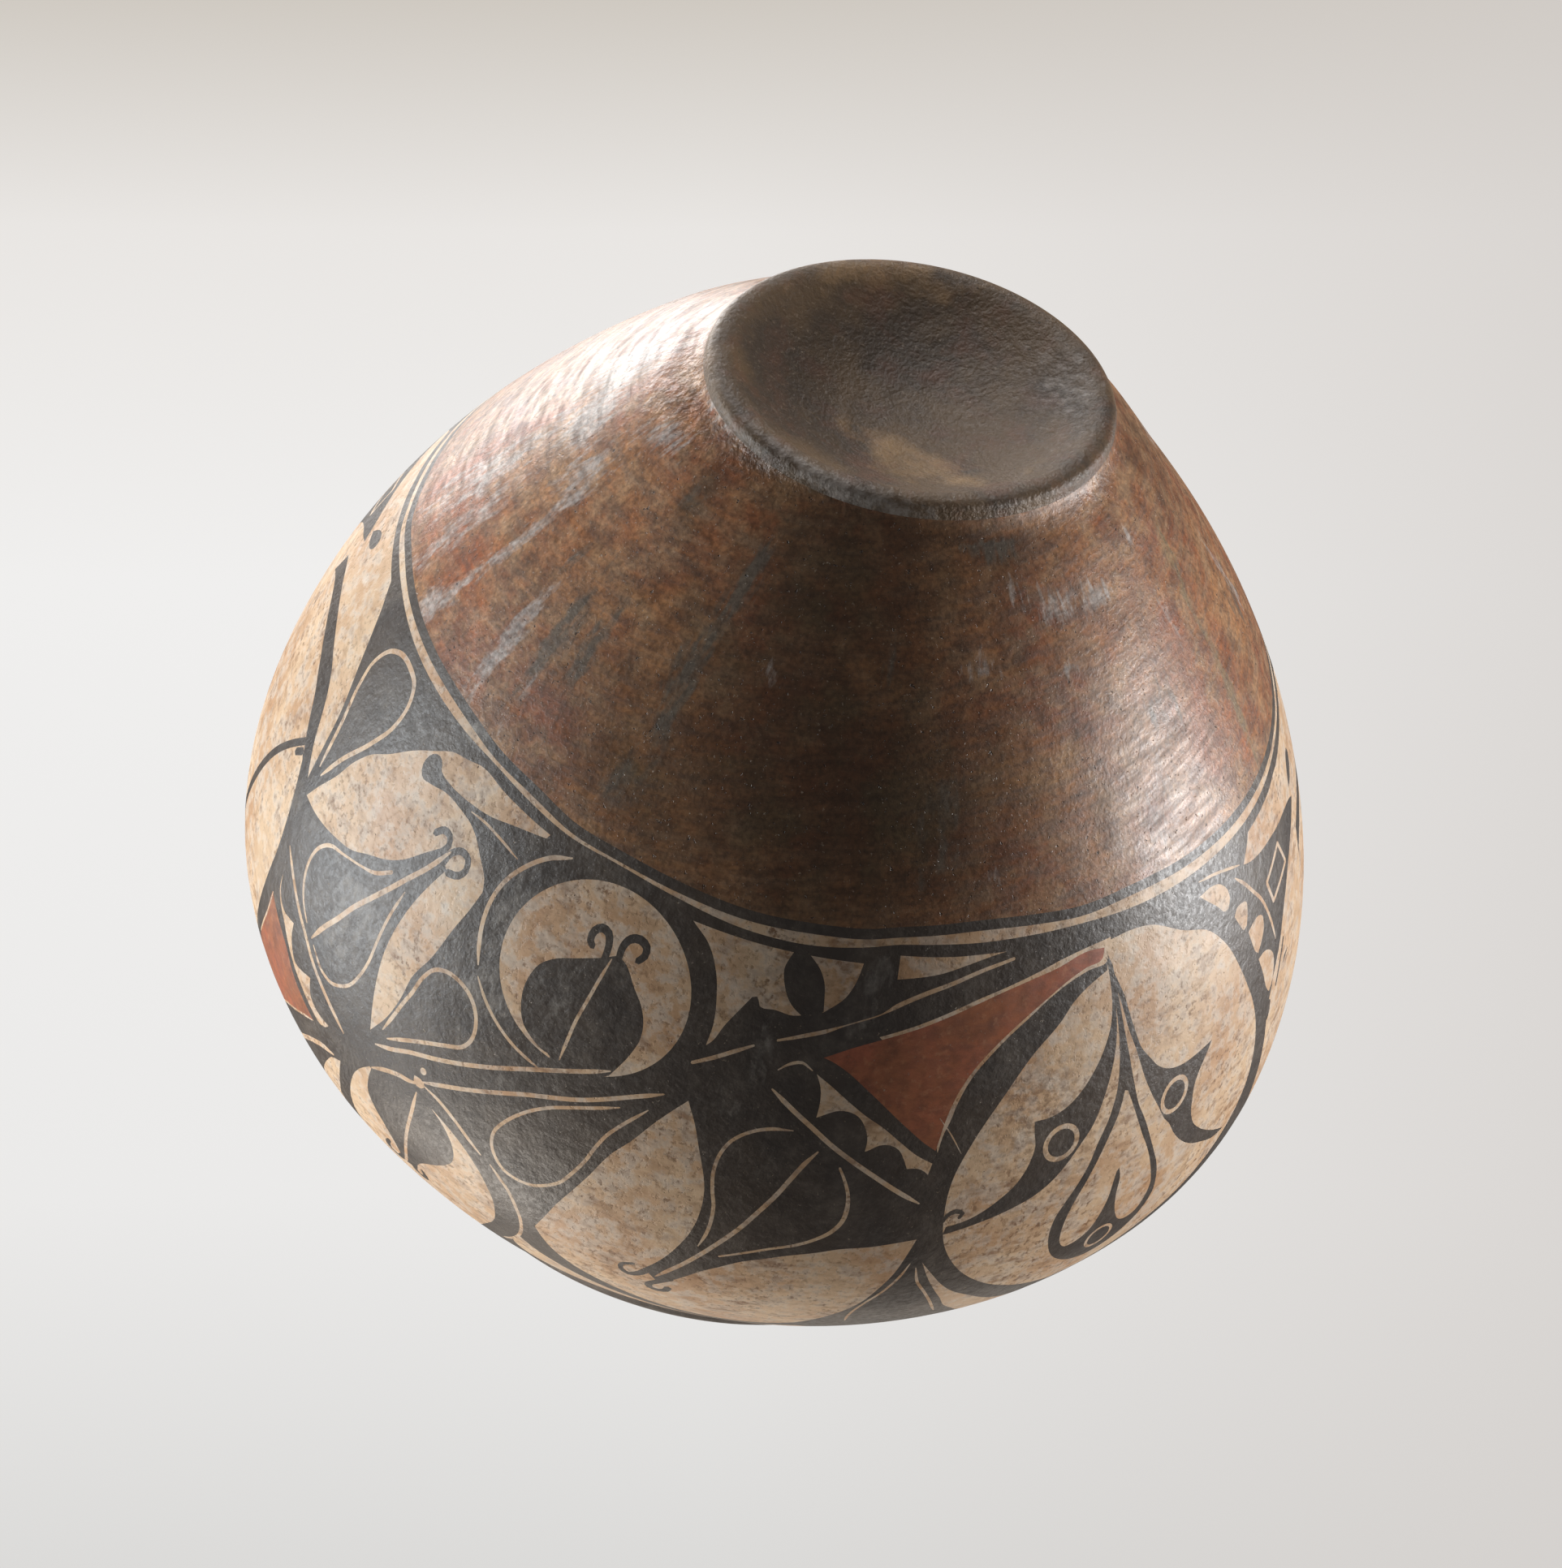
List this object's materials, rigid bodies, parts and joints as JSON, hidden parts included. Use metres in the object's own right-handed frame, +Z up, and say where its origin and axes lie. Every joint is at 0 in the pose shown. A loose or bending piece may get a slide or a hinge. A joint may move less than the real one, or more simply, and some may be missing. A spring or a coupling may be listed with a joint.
{
  "type": "olla",
  "caption": "Hand-built water jar with a dished foot, flaring underbody, broad round shoulder and low open mouth, painted in black and red on cream.",
  "frame": {"origin": "centre of the foot, on the ground plane", "axes": "+Z up through the middle of the mouth; -Y is the side of the painted band that the picture shows"},
  "size_m": [0.3258, 0.33, 0.2928],
  "materials": {
    "painted_clay": "burnished slip, worn"
  },
  "bodies": {
    "root": {"olla": "painted_clay"}
  },
  "joints": []
}
